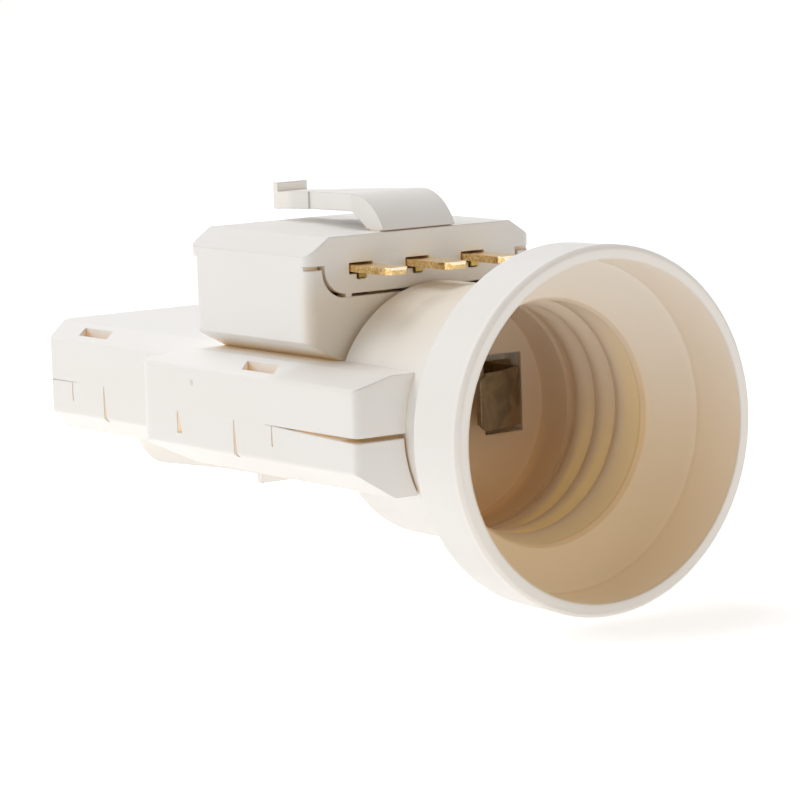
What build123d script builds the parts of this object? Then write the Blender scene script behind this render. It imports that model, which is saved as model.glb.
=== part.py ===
from build123d import *
import os

# Lamp holder with its plug. The lamp axis is +X, the origin is in the thread, +Z is up.

# Cup and thread bore
mouth_x = 12.0
rim_r = 20.0
rim_band = 8.1
rim_draft = 0.2
lip_w = 1.55
lip_cut = 0.4
cup_straight = 7.0
cup_draft = 0.25
entry_x = 1.4
entry_cut = 0.4
thread_r = 13.35
thread_len = 12.9
chamber_r = 12.9
chamber_len = 4.7
floor_t = 2.0

# Neck
neck_r = 14.35
neck_straight = 6.2
neck_front_r = 15.5
neck_front_x = 0.8
neck_cut = 0.7

# Housing
front_x = -3.9
wide_len = 44.1
narrow_len = 35.0
wide_half = 21.6
step_w = 5.6
step_round = 2.6
edge_round = 0.8
soft_edge = 0.5
rear_cut_x = 6.4
rear_cut_y = 6.5
shell_h = 6.4
shell_bevel_w = 4.8
shell_bevel_h = 1.2
cover_h = 6.9
cover_bevel_w = 4.9
cover_bevel_h = 2.95
wall = 1.6
roof_t = 2.0
plate_t = 1.6

# Snap arms of the cover and their windows in the shell
snap_back = (21.6, 65.9)
window_len = 6.3
window_w = 2.2
window_skew = 2.1
window_bite = 0.3
snap_ledge = 2.5
arm_len = 3.6
arm_t = 1.35
arm_gap = 0.25
nose_gap = 0.12
nose_h = 0.4
slit_w = 0.65
slit_top = 0.12
thin_slit_w = 0.24
thin_slit_depth = 2.3
slit_depth = 4.2
slit_pitch = 7.4
slit_shift = 1.7

# Joint gap beside the neck and the cover's fit round it
gap_len = 16.7
gap_open = 0.55
rear_gap_len = 11.7
rear_gap_open = 0.14
neck_gap = 0.25
key_back = 35.1
key_w = 1.0
key_depth = 2.55

# Leads and contacts of the holder
blade_len = 5.9
blade_w = 3.0
blade_t = 0.9
blade_cut = 0.9
tip_cut = 0.22
blade_pitch = 7.7
blade_inset = 3.7
lead_w = 5.0
lead_front = 21.0
tab_len = 5.5
tab_t = 0.6
tab_top = 2.6
rib_t = 1.2
rib_back = (26.0, 48.0, 70.0)
blade_fit = 0.15
contact_t = 0.6
contact_low = -2.5
contact_w = 6.5
contact_cut = 1.3
contact_gap = 0.1
contact_bend = 1.2
contact_lap = 1.5
contact_rise_x = -15.6
contact_tip_x = -12.0
contact_tip_y = 0.8
contact_knee_x = -13.5
contact_knee_y = 5.7
side_t = 0.5
side_w = 5.0
side_tip_x = -12.3
side_tip_y = 11.9
side_knee_y = 10.9
port_gap = 1.0
rivet_r = 0.8
rivet_head_r = 1.3
rivet_head_t = 0.5
rivet_fit = 0.05

# Plug
plug_front = -19.15
plug_len = 23.35
plug_half = 15.45
plug_y = -1.28
base_h = 10.7
base_bevel_w = 4.0
base_bevel_h = 2.2
base_wall = 1.6
base_floor = 1.6
lid_h = 3.1
lid_bevel_w = 3.0
lid_bevel_h = 2.0
lid_t = 1.6
lid_lip = 0.7
lid_bar = 4.6
rail_h = 1.2
rail_t = 1.0
rail_gap = 0.15
rail_len = 16.0
plug_round = 1.1
panel_t = 1.6
panel_half = 13.15
panel_drop = 3.35
panel_round = 3.0
panel_gap = 0.35
nub_in = 3.1
nub_w = 0.8
notch_h = 0.45
notch_len = 0.9

# Plug blades and terminals
plug_blade_len = 7.3
plug_blade_cut = 0.4
earth_ahead = 0.5
plug_blade_drop = 0.15
blade_shift = -0.58
slot_gap = 0.1
slot_over = 0.2
keel_w = 1.0
keel_h = 0.6
keel_out = 0.4
keel_in = 1.3
terminal_back = 8.0
terminal_len = 6.0
terminal_w = 5.4
terminal_h = 5.6
wire_r = 1.3
wire_up = 2.2
screw_r = 1.2
screw_fit = 0.05
screw_head_r = 2.1
screw_head_h = 1.5
screw_len = 3.4
driver_w = 0.6
driver_depth = 0.7
fence_t = 1.0
fence_h = 7.0

# Cord inlet and clamp
inlet_r = 3.2
inlet_up = 5.0
clamp_back = 18.6
clamp_len = 4.0
clamp_half = 9.0
clamp_t = 2.0
clamp_bite = 0.9
clamp_screw_y = 6.6
clamp_screw_r = 1.1
clamp_screw_len = 5.6
clamp_head_r = 1.9
clamp_head_h = 1.3
clamp_boss_r = 2.0

# Latch levers
bead_r = 1.2
bead_fit = 0.1
bead_sunk = 0.55
bead_back = 1.7
stem_t = 1.9
latch_clear = 0.15
latch_foot = 3.2
latch_half = 4.9
latch_arm_half = 2.5
latch_top = 4.0
latch_bend = 6.3
latch_under = 2.0
latch_crook = 6.0
crook_round = 1.2
latch_len = 25.2
plug_latch_drop = 0.75
holder_latch_drop = 0.15
pad_len = 7.2
pad_half = 2.7
pad_far = 1.4
pad_wall = 0.95
pad_wall_h = 1.05
plug_latch_back = 0.15
holder_latch_back = 6.7
boss_t = 1.4
boss_margin = 1.0

narrow_half = wide_half - step_w
step_x = front_x - wide_len
rear_x = step_x - narrow_len
chamber_x = entry_x - thread_len
floor_x = chamber_x - chamber_len
neck_back = floor_x - floor_t


def filled(*points):
    """Flat face inside a closed outline."""
    return make_face(Polyline(*points, close=True))


def rounded(sketch, radius, *points):
    """Round the outline's corners that lie at the given points."""
    for point in points:
        sketch = fillet(sketch.vertices().sort_by_distance(point)[0], radius)
    return sketch


def trimmed(sketch, length, *points):
    """Cut the outline's corners that lie at the given points."""
    for point in points:
        sketch = chamfer(sketch.vertices().sort_by_distance(point)[0], length)
    return sketch


def span(x0, x1, y0, y1, z0, z1):
    """Block between two corners."""
    size = (x1 - x0, y1 - y0, z1 - z0)
    return Pos((x0 + x1) / 2, (y0 + y1) / 2, (z0 + z1) / 2) * Box(*size)


def rod(radius, length):
    """Round rod that runs from the origin along +X."""
    return extrude(Plane.YZ * Circle(radius), length)


def post(radius, height):
    """Round post that stands on the origin."""
    return extrude(Circle(radius), height)


def both_sides(shape):
    """A shape and its mirror image across the lamp axis."""
    return shape + mirror(shape, about=Plane.XZ)


# Cup and neck, turned about the lamp axis
band_x = mouth_x - rim_band
crease = (mouth_x - cup_straight, rim_r - lip_w - cup_draft)
neck_outline = filled(
    (neck_back, 0),
    (neck_back, neck_r),
    (neck_back + neck_straight, neck_r),
    (neck_front_x, neck_front_r),
    (band_x, rim_r - rim_draft),
    (mouth_x, rim_r),
    (mouth_x, 0),
)
neck_outline = trimmed(neck_outline, neck_cut, (neck_front_x, neck_front_r))
neck_outline = trimmed(neck_outline, lip_cut, (band_x, rim_r - rim_draft))
neck_outline = trimmed(neck_outline, lip_cut, (mouth_x, rim_r))
cup_outline = filled(
    (floor_x, 0),
    (floor_x, chamber_r),
    (chamber_x, chamber_r),
    (chamber_x, thread_r),
    (entry_x, thread_r),
    crease,
    (mouth_x, rim_r - lip_w),
    (mouth_x + lip_w, rim_r - lip_w),
    (mouth_x + lip_w, 0),
)
cup_outline = trimmed(cup_outline, entry_cut, (entry_x, thread_r))
neck = revolve(neck_outline, Axis.X)
cup = revolve(cup_outline, Axis.X)

# Housing outline in plan, and a half of the housing as a bevelled block
half_plan = [
    (front_x, wide_half),
    (step_x, wide_half),
    (step_x, narrow_half),
    (rear_x + rear_cut_x, narrow_half),
    (rear_x, narrow_half - rear_cut_y),
]
plan = filled(*half_plan, *[(x, -y) for x, y in reversed(half_plan)])
for side in (1, -1):
    plan = rounded(plan, step_round, (step_x, side * wide_half))
    plan = rounded(plan, edge_round, (front_x, side * wide_half))


def housing(inset, height, bevel_w, bevel_h, soft=0):
    """Half of the housing above the joint plane, walls moved in by the inset, long edges softened."""
    outline = offset(plan, -inset, kind=Kind.INTERSECTION) if inset else plan
    x0 = rear_x + inset
    x1 = step_x + inset
    x2 = front_x - inset
    low = height - bevel_h

    def bevelled(half, length):
        shoulders = [(half, low), (half - bevel_w, height), (bevel_w - half, height), (-half, low)]
        section = filled((-half, 0), (half, 0), *shoulders)
        if soft:
            section = rounded(section, soft, *shoulders)
        return extrude(Plane.YZ * section, length)

    hip = filled((x1, 0), (x2, 0), (x2, height), (x1 + bevel_w, height), (x1, low))
    if soft:
        hip = rounded(hip, soft, (x1, low))
    wide = Pos(x1, 0, 0) * bevelled(wide_half - inset, x2 - x1)
    wide &= extrude(Plane.XZ * hip, wide_half, both=True)
    narrow = Pos(x0, 0, 0) * bevelled(narrow_half - inset, x2 - x0)
    return extrude(outline, height) & (wide + narrow)


# Upper shell: housing half, neck and cup in one moulding
holder_shell = housing(0, shell_h, shell_bevel_w, shell_bevel_h, soft_edge)
holder_shell -= housing(wall, shell_h - roof_t, shell_bevel_w, shell_bevel_h)
holder_shell += neck
holder_shell -= cup
snaps = [(front_x - snap_back[0], wide_half, 1), (front_x - snap_back[1], narrow_half, -1)]
for x, half, end in snaps:
    outer = half - wall + window_bite
    inner = outer - window_w
    window = filled(
        (x - window_len / 2 + window_skew / 2, outer),
        (x + window_len / 2 + window_skew / 2, outer),
        (x + window_len / 2 - window_skew / 2, inner),
        (x - window_len / 2 - window_skew / 2, inner),
    )
    holder_shell -= both_sides(Pos(0, 0, snap_ledge) * extrude(window, shell_h))

# Ports in the cup's floor that the contacts come through
lead_edge = blade_pitch + lead_w / 2
contact_y = lead_edge - tab_t - contact_gap - contact_t / 2
side_y = lead_edge - tab_t - side_t / 2
contact_top = contact_low + contact_w
port = span(
    neck_back - port_gap,
    floor_x + port_gap,
    contact_knee_y - port_gap,
    contact_y + contact_t / 2 + port_gap / 2,
    contact_low - port_gap,
    contact_top + 1.5 * port_gap,
)
side_port = span(
    neck_back - port_gap,
    floor_x + port_gap,
    -side_tip_y - side_t / 2,
    -side_y + side_t / 2 + port_gap,
    -side_w / 2 - port_gap / 2,
    side_w / 2 + port_gap / 2,
)
holder_shell -= port + side_port
# Lower cover: tray with a cut-out round the neck, slits, blade slots and ribs under the leads
blade_z = blade_inset - cover_h
lead_low = blade_z - blade_t / 2
lead_high = blade_z + blade_t / 2
plate_top = plate_t - cover_h
lower_cover = housing(0, cover_h, cover_bevel_w, cover_bevel_h, soft_edge)
lower_cover -= housing(wall, cover_h - plate_t, cover_bevel_w, cover_bevel_h)
lower_cover = mirror(lower_cover, about=Plane.XY)
for back in rib_back:
    x = front_x - back
    half = blade_pitch + lead_w / 2 + rib_t
    lower_cover += span(x - rib_t / 2, x + rib_t / 2, -half, half, plate_top, lead_low)
clear_r = neck_r + neck_gap
clear_front = neck_front_r + neck_gap
neck_room = filled(
    (neck_back - neck_gap, 0),
    (neck_back - neck_gap, clear_r),
    (neck_back + neck_straight, clear_r),
    (neck_front_x, clear_front),
    (neck_front_x, 0),
)
lower_cover -= revolve(neck_room, Axis.X)
joint_gap = filled((front_x - gap_len, 0), (front_x, 0), (front_x, -gap_open))
lower_cover -= extrude(Plane.XZ * joint_gap, wide_half, both=True)
rear_gap = filled((rear_x + rear_gap_len, 0), (rear_x, 0), (rear_x, -rear_gap_open))
lower_cover -= extrude(Plane.XZ * rear_gap, narrow_half, both=True)


def wedge(x, width, depth, inner):
    """Slits in both walls down from the joint plane, narrow above and wide below."""
    outline = filled(
        (x - width / 2, 0),
        (x - width / 2 + slit_top, 0),
        (x + width / 2, -depth),
        (x - width / 2, -depth),
    )
    return both_sides(Pos(0, inner, 0) * extrude(Plane.XZ * outline, -2 * wall))


for x, half, end in snaps:
    arm_out = half - wall - arm_gap
    arm_in = arm_out - arm_t
    nose_out = half - wall + window_bite - nose_gap
    nose_low = snap_ledge + arm_gap / 2
    profile = filled(
        (arm_in, -slit_depth),
        (half - wall, -slit_depth),
        (half - wall, -arm_gap),
        (arm_out, -arm_gap),
        (arm_out, nose_low),
        (nose_out, nose_low),
        (nose_out, nose_low + nose_h),
        (arm_in, nose_low + nose_h + arm_t),
    )
    arm = Pos(x - arm_len / 2 + window_skew / 4, 0, 0) * extrude(Plane.YZ * profile, arm_len)
    lower_cover += both_sides(arm)
    inner_x = x + slit_shift - end * slit_pitch / 2
    outer_x = x + slit_shift + end * slit_pitch / 2
    lower_cover -= wedge(inner_x, slit_w, slit_depth, half - 1.5 * wall)
    lower_cover -= wedge(outer_x, thin_slit_w, thin_slit_depth, half - 1.5 * wall)
lower_cover -= wedge(front_x - key_back, key_w, key_depth, wide_half - wall / 2)
slot = span(
    rear_x - wall,
    rear_x + 2 * wall,
    blade_pitch - blade_w / 2 - blade_fit,
    blade_pitch + blade_w / 2 + blade_fit,
    lead_low - blade_fit,
    lead_high + blade_fit,
)
lower_cover -= both_sides(slot)

# Leads: brass strips that are blades behind the housing and carry a contact tab in front
lead_x = front_x - lead_front
tip_x = rear_x - blade_len
neck_x = rear_x + 2 * wall
blade_low = blade_pitch - blade_w / 2
blade_high = blade_pitch + blade_w / 2
strip = filled(
    (tip_x, blade_low + blade_cut),
    (tip_x, blade_high - blade_cut),
    (tip_x + 2 * blade_cut, blade_high),
    (neck_x, blade_high),
    (neck_x, lead_edge),
    (lead_x, lead_edge),
    (lead_x, lead_edge - lead_w),
    (neck_x, lead_edge - lead_w),
    (neck_x, blade_low),
    (tip_x + 2 * blade_cut, blade_low),
)
live_lead = Pos(0, 0, lead_low) * extrude(strip, blade_t)
tab_x = lead_x - tab_len
tip_edges = live_lead.faces().sort_by(Axis.X)[0].edges().filter_by(Axis.Y)
live_lead = chamfer(tip_edges, tip_cut)
live_lead += span(tab_x, lead_x, lead_edge - tab_t, lead_edge, lead_low, tab_top)
neutral_lead = mirror(live_lead, about=Plane.XZ)
rivet_x = lead_x - tab_len / 2
rivet_z = (lead_high + tab_top) / 2
rivet_line = Pos(rivet_x, -lead_edge, rivet_z) * Rot(0, 0, 90)
rivet_hole = rivet_line * (Pos(-tab_t, 0, 0) * rod(rivet_r + rivet_fit, 3 * tab_t))
neutral_lead -= rivet_hole


def strip_along(points, thickness, radius):
    """Flat section of a bent strip in plan, along its middle line."""
    path = FilletPolyline(*points, radius=radius)
    return trace(path, thickness)


# Centre contact: spring strip on edge, from the lead's tab through the port to the lamp axis
contact_path = [
    (lead_x - contact_lap, contact_y),
    (contact_rise_x, contact_y),
    (contact_knee_x, contact_knee_y),
    (contact_tip_x, contact_tip_y),
]
center_contact = extrude(strip_along(contact_path, contact_t, contact_bend), contact_w)
center_contact = Pos(0, 0, contact_low) * center_contact
for z0, z1 in ((contact_low, contact_low + contact_cut), (contact_top, contact_top - contact_cut)):
    corner = filled(
        (contact_tip_y - contact_t, z0),
        (contact_tip_y + contact_cut, z0),
        (contact_tip_y - contact_t, z1),
    )
    center_contact -= Pos(contact_knee_x, 0, 0) * extrude(Plane.YZ * corner, 3 * contact_t)

# Side contact: spring strip that is riveted to its lead and bears on the lamp's thread
side_path = [
    (tab_x, -side_y),
    (neck_back - port_gap, -side_y),
    (floor_x, -side_knee_y),
    (side_tip_x, -side_tip_y),
]
side_contact = extrude(strip_along(side_path, side_t, contact_bend), side_w)
side_contact = Pos(0, 0, -side_w / 2) * side_contact
side_contact -= rivet_hole
shank_len = tab_t + side_t
rivet = Pos(0, 0, 0) * rod(rivet_r, shank_len)
rivet += Pos(-rivet_head_t, 0, 0) * rod(rivet_head_r, rivet_head_t)
rivet += Pos(shank_len, 0, 0) * rod(rivet_head_r, rivet_head_t)
side_contact_rivet = rivet_line * rivet


def latch(drop):
    """Lever along -X from its foot: root bent over a bead, tapered arm, pad with an end wall."""
    pad_x = latch_len - pad_len
    heel = (0, latch_clear)
    bend = (latch_bend, latch_top)
    crook = (latch_crook, latch_under)
    low = latch_under - drop
    high = latch_top - drop
    edge = Polyline(
        heel, (latch_foot, latch_clear), crook, (latch_len, low), (latch_len, high), bend
    )
    root = TangentArc(bend, heel, tangent=(latch_bend - latch_len, drop))
    profile = rounded(make_face(edge + root), crook_round, crook)
    outline = filled(
        (-latch_foot, latch_half),
        (latch_bend, latch_half),
        (pad_x, latch_arm_half),
        (pad_x, pad_half),
        (latch_len, pad_half),
        (latch_len, -pad_far),
        (pad_x, -pad_far),
        (pad_x, -latch_arm_half),
        (latch_bend, -latch_half),
        (-latch_foot, -latch_half),
    )
    lever = extrude(Plane.XZ * profile, latch_half, both=True)
    lever &= extrude(outline, 2 * latch_top, both=True)
    lever += span(latch_len - pad_wall, latch_len, -pad_far, pad_half, low, high + pad_wall_h)
    stem = (bead_back - stem_t / 2, bead_back + stem_t / 2)
    lever += span(*stem, -latch_half, latch_half, -bead_sunk, latch_clear)
    pivot = Pos(bead_back, 0, -bead_sunk) * Rot(90, 0, 0)
    lever += pivot * extrude(Circle(bead_r), latch_half, both=True)
    return Rot(0, 0, 180) * lever


def latch_groove():
    """Room for a lever's bead."""
    pivot = Pos(-bead_back, 0, -bead_sunk) * Rot(90, 0, 0)
    return pivot * extrude(Circle(bead_r + bead_fit), latch_half + bead_fit, both=True)


# Latch lever under the housing, with its thickened seat in the cover
flipped = Pos(rear_x + holder_latch_back, 0, -cover_h) * Rot(0, 180, 0)
holder_latch = flipped * latch(holder_latch_drop)
seat_half = latch_half + bead_fit + boss_margin
seat_x = rear_x + holder_latch_back + bead_back
seat_reach = bead_r + bead_fit + boss_margin
lower_cover += span(
    seat_x - seat_reach, seat_x + seat_reach, -seat_half, seat_half, plate_top, plate_top + boss_t
)
lower_cover -= flipped * latch_groove()

# Plug base: open box with bevelled lower edges
plug_rear = plug_front - plug_len
base_low = shell_h
seam = base_low + base_h
lid_top = seam + lid_h
floor_top = base_low + base_floor


def plug_box(inset, low, high, bevel_w, bevel_h):
    """Block over the plug's plan with bevels along its lower long edges."""
    half = plug_half - inset
    section = filled(
        (bevel_w - half, low),
        (half - bevel_w, low),
        (half, low + bevel_h),
        (half, high),
        (-half, high),
        (-half, low + bevel_h),
    )
    return Pos(plug_rear + inset, 0, 0) * extrude(Plane.YZ * section, plug_len - 2 * inset)


panel_low = seam - panel_drop
tab_high = seam - plug_blade_drop
tab_low = tab_high - blade_t
terminal_x1 = plug_front - terminal_back
terminal_x0 = terminal_x1 - terminal_len
terminal_mid = (terminal_x0 + terminal_x1) / 2
terminal_low = tab_low - terminal_h
inlet_z = base_low + inlet_up
clamp_x = plug_front - clamp_back
clamp_low = inlet_z + inlet_r - clamp_bite
poles = [blade_shift + k * blade_pitch for k in (-1, 0, 1)]


def panel_face(grow):
    """Outline of the front panel below the seam, in the Y and Z directions."""
    half = panel_half + grow
    low = panel_low - grow
    face = filled((-half, seam), (half, seam), (half, low), (-half, low))
    return rounded(face, panel_round, (half, low), (-half, low))


plug_base = plug_box(0, base_low, seam, base_bevel_w, base_bevel_h)
plug_base = fillet(plug_base.edges().filter_by(Axis.Z), plug_round)
plug_base -= plug_box(base_wall, floor_top, seam + base_bevel_h, base_bevel_w, base_bevel_h)
for y in poles:
    low, high = y - terminal_w / 2, y + terminal_w / 2
    plug_base += span(terminal_x0, terminal_x1, low, high, floor_top - base_floor / 2, terminal_low)
for k in (-0.5, 0.5):
    y = blade_shift + k * blade_pitch
    low, high = y - fence_t / 2, y + fence_t / 2
    plug_base += span(terminal_x0, terminal_x1, low, high, floor_top, floor_top + fence_h)
boss = Pos(clamp_x, clamp_screw_y, floor_top) * post(clamp_boss_r, clamp_low - floor_top)
clamp_hole = post(clamp_screw_r + screw_fit, clamp_screw_len)
clamp_hole = Pos(clamp_x, clamp_screw_y, clamp_low + clamp_t - clamp_screw_len) * clamp_hole
plug_base += both_sides(boss)
plug_base -= both_sides(clamp_hole)
plug_base -= Pos(plug_rear - base_wall, 0, inlet_z) * rod(inlet_r, 3 * base_wall)
panel_room = extrude(Plane.YZ * panel_face(panel_gap), 3 * panel_t)
plug_base -= Pos(plug_front - 2 * panel_t, 0, 0) * panel_room
post_y = panel_half + panel_gap / 2
plug_base -= both_sides(
    span(plug_front - notch_len, plug_front, post_y, plug_half, seam - notch_h, seam)
)

# Plug lid: bevelled cap with its front panel, locating rails and the latch's groove
latch_spot = Pos(plug_front - plug_latch_back, 0, lid_top)
lid_section = filled(
    (-plug_half, seam),
    (plug_half, seam),
    (plug_half, lid_top - lid_bevel_h),
    (plug_half - lid_bevel_w, lid_top),
    (lid_bevel_w - plug_half, lid_top),
    (-plug_half, lid_top - lid_bevel_h),
)
plug_lid = Pos(plug_rear - lid_lip, 0, 0) * extrude(Plane.YZ * lid_section, plug_len + lid_lip)
plug_lid = fillet(plug_lid.edges().filter_by(Axis.Z), plug_round)
pocket_half = plug_half - lid_bevel_w
pocket_x = plug_front - lid_bar
pocket_top = lid_top - lid_t
plug_lid -= span(plug_rear + base_wall, pocket_x, -pocket_half, pocket_half, seam - lid_t, pocket_top)
rail_y = plug_half - base_wall - rail_gap
rail = span(pocket_x - rail_len, pocket_x, rail_y - rail_t, rail_y, seam - rail_h, seam)
plug_lid += both_sides(rail)
plug_lid += Pos(plug_front - panel_t, 0, 0) * extrude(Plane.YZ * panel_face(0), panel_t)
nub_y = panel_half - nub_in
nub_ends = (nub_y - nub_w / 2, nub_y + nub_w / 2)
plug_lid += both_sides(
    span(plug_front - panel_t, plug_front, *nub_ends, panel_low - panel_gap, panel_low)
)
for y in poles:
    for half, low, high in (
        (blade_w / 2, tab_low - blade_fit, tab_high + slot_over),
        (keel_w / 2, tab_low - keel_h - blade_fit, tab_low),
    ):
        reach = half + slot_gap
        plug_lid -= span(plug_front - panel_t, plug_front, y - reach, y + reach, low, high)
plug_lid -= latch_spot * latch_groove()
plug_latch = latch_spot * latch(plug_latch_drop)

# Plug blades: flat brass with cut tips, a keel under the root and an eye over the terminal
def plug_blade(reach):
    """Blade that stands out of the plug's front by the reach."""
    tip = plug_front + reach
    half_strip = [
        (tip, blade_w / 2 - plug_blade_cut),
        (tip - plug_blade_cut, blade_w / 2),
        (terminal_x1 + blade_w / 2, blade_w / 2),
        (terminal_x1, terminal_w / 2),
        (terminal_x0, terminal_w / 2),
    ]
    outline = filled(*half_strip, *[(x, -y) for x, y in reversed(half_strip)])
    blade = Pos(0, 0, tab_low) * extrude(outline, blade_t)
    blade = chamfer(blade.faces().sort_by(Axis.X)[-1].edges().filter_by(Axis.Y), tip_cut)
    keel_x = plug_front - panel_t - keel_in
    blade += span(keel_x, plug_front + keel_out, -keel_w / 2, keel_w / 2, tab_low - keel_h, tab_low)
    return blade - screw_hole


screw_hole = post(screw_r + screw_fit, blade_t + screw_len)
screw_hole = Pos(terminal_mid, 0, tab_low - screw_len) * screw_hole

# Pillar terminals and their screws
terminal = span(
    terminal_x0, terminal_x1, -terminal_w / 2, terminal_w / 2, terminal_low, tab_low
)
terminal -= Pos(terminal_x0, 0, terminal_low + wire_up) * rod(wire_r, terminal_len)
terminal -= screw_hole
screw = Pos(terminal_mid, 0, tab_high) * post(screw_head_r, screw_head_h)
screw += Pos(terminal_mid, 0, tab_low - screw_len) * post(screw_r, screw_len + blade_t)
screw_top = tab_high + screw_head_h
screw -= span(
    terminal_mid - screw_head_r,
    terminal_mid + screw_head_r,
    -driver_w / 2,
    driver_w / 2,
    screw_top - driver_depth,
    screw_top,
)
terminal_screws = [Pos(0, y, 0) * screw for y in poles]

# Cord clamp across the inlet and its screws
clamp_high = clamp_low + clamp_t
cord_clamp = span(
    clamp_x - clamp_len / 2,
    clamp_x + clamp_len / 2,
    -clamp_half,
    clamp_half,
    clamp_low,
    clamp_high,
)
cord_clamp -= both_sides(clamp_hole)
clamp_screw = Pos(clamp_x, clamp_screw_y, clamp_high) * post(clamp_head_r, clamp_head_h)
clamp_shank = post(clamp_screw_r, clamp_screw_len)
clamp_screw += Pos(clamp_x, clamp_screw_y, clamp_high - clamp_screw_len) * clamp_shank
clamp_top = clamp_high + clamp_head_h
clamp_screw -= span(
    clamp_x - clamp_head_r,
    clamp_x + clamp_head_r,
    clamp_screw_y - driver_w / 2,
    clamp_screw_y + driver_w / 2,
    clamp_top - driver_depth,
    clamp_top,
)
clamp_screws = [clamp_screw, mirror(clamp_screw, about=Plane.XZ)]

# Every piece, with the plug set over its place on the housing
plug_spot = Pos(0, plug_y, 0)
pieces = {
    "holder_shell": holder_shell,
    "lower_cover": lower_cover,
    "live_lead": live_lead,
    "neutral_lead": neutral_lead,
    "center_contact": center_contact,
    "side_contact": side_contact,
    "side_contact_rivet": side_contact_rivet,
    "holder_latch": holder_latch,
    "plug_base": plug_spot * plug_base,
    "plug_lid": plug_spot * plug_lid,
    "plug_latch": plug_spot * plug_latch,
    "terminal_screws": plug_spot * Compound(children=terminal_screws),
    "cord_clamp": plug_spot * cord_clamp,
    "clamp_screws": plug_spot * Compound(children=clamp_screws),
}
for pole, y in zip(("neutral", "earth", "live"), poles):
    reach = plug_blade_len + earth_ahead if pole == "earth" else plug_blade_len
    pieces["plug_" + pole + "_blade"] = plug_spot * (Pos(0, y, 0) * plug_blade(reach))
    pieces[pole + "_terminal"] = plug_spot * (Pos(0, y, 0) * terminal)
os.makedirs("parts", exist_ok=True)
for name, shape in pieces.items():
    export_step(shape, "parts/" + name + ".step")
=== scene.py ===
import math
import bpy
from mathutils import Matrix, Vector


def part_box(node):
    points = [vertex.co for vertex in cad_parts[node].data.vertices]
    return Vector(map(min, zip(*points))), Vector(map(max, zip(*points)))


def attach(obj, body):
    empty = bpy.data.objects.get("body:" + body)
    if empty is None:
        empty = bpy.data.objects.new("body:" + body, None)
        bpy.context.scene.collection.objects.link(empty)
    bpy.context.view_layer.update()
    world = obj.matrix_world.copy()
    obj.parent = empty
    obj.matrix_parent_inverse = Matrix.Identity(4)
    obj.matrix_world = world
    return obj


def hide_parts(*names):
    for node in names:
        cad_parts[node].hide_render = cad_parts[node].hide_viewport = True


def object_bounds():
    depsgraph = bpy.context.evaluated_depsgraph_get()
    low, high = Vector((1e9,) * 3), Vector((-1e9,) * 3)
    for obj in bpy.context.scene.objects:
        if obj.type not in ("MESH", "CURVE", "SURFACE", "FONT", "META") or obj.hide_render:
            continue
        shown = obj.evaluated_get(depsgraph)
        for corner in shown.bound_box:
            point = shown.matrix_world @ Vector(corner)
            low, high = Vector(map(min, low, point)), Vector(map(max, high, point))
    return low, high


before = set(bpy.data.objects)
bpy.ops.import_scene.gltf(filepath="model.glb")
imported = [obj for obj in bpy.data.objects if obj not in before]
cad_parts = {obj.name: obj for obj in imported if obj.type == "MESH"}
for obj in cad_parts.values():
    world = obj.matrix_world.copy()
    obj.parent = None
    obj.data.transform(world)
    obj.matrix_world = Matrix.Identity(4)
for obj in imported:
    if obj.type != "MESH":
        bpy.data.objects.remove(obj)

from types import SimpleNamespace

import bmesh
import bpy
from mathutils import Matrix, Vector

cad_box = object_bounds()

# ---------------------------------------------------------------------------
# Camera: a long lens a little above the lamp axis, in front of the cup and to
# the near side of it, as the photograph was taken. Lengths in this script are
# millimetres times MM, unless a line says metres.
MM = 0.001
EYE_PLACE = (343.2, -262.1, 59.4)
EYE_RIGHT = (0.58209, 0.81244, -0.03322)
EYE_UP = (-0.08642, 0.10243, 0.99098)
EYE_BACK = (0.80852, -0.57396, 0.12983)
scene = bpy.context.scene
lens = bpy.data.cameras.new("front_quarter_camera")
lens.sensor_width = 36.0
lens.lens = 180.0
lens.clip_start, lens.clip_end = 0.02, 200.0  # metres
camera = bpy.data.objects.new("front_quarter_camera", lens)
scene.collection.objects.link(camera)
turn = Matrix((EYE_RIGHT, EYE_UP, EYE_BACK)).transposed()
camera.matrix_world = Matrix.Translation(Vector(EYE_PLACE) * MM) @ turn.to_4x4()
scene.camera = camera

# ---------------------------------------------------------------------------
# Holder shell: upper half of the housing with the neck and the cup, one piece.
# Injection-moulded warm white thermoplastic with a fine spark-eroded skin; it
# is milky, and its thin walls, its hollows and its inside get painted warm light and shade.
SHELL_WHITE = (0.885, 0.868, 0.843, 1.0)
SHELL_FLOW = (0.875, 0.853, 0.82, 1.0)
SHELL_GLOSS = 0.46
LIP_PAINTED_LIGHT = (0.955, 0.915, 0.86, 1.0)
ROOF_PAINTED_LIGHT = (0.965, 0.95, 0.93, 1.0)
NECK_PAINTED_SHADE = (0.85, 0.785, 0.685, 1.0)
GATE_PAINTED_SHADE = (0.74, 0.70, 0.65, 1.0)
CONE_PAINTED_LIT = (0.88, 0.85, 0.81, 1.0)
CONE_PAINTED_SHADE = (0.70, 0.643, 0.60, 1.0)
MOUTH_PAINTED_LIGHT = (0.99, 0.955, 0.905, 1.0)
MOUTH_PAINTED_GLOW = (1.0, 0.74, 0.40, 1.0)
BORE_PAINTED_SHADE = (0.76, 0.50, 0.25, 1.0)
CUP_FLOOR_PAINTED_GLOW = (1.0, 0.70, 0.38, 1.0)
HOLLOW_SHADE_COLOUR = (1.0, 0.76, 0.46, 1.0)
INSIDE_PAINTED_GLOW = (0.08, 0.045, 0.014, 1.0)
SLIT_PAINTED_GLOW = (0.145, 0.124, 0.096, 1.0)
BLACK = (0.0, 0.0, 0.0, 1.0)
COLOUR_SOCKETS = ("Colour", "Flow Colour", "Shade Colour", "Bright", "Dull")
PLASTIC_IOR = 1.49
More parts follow.
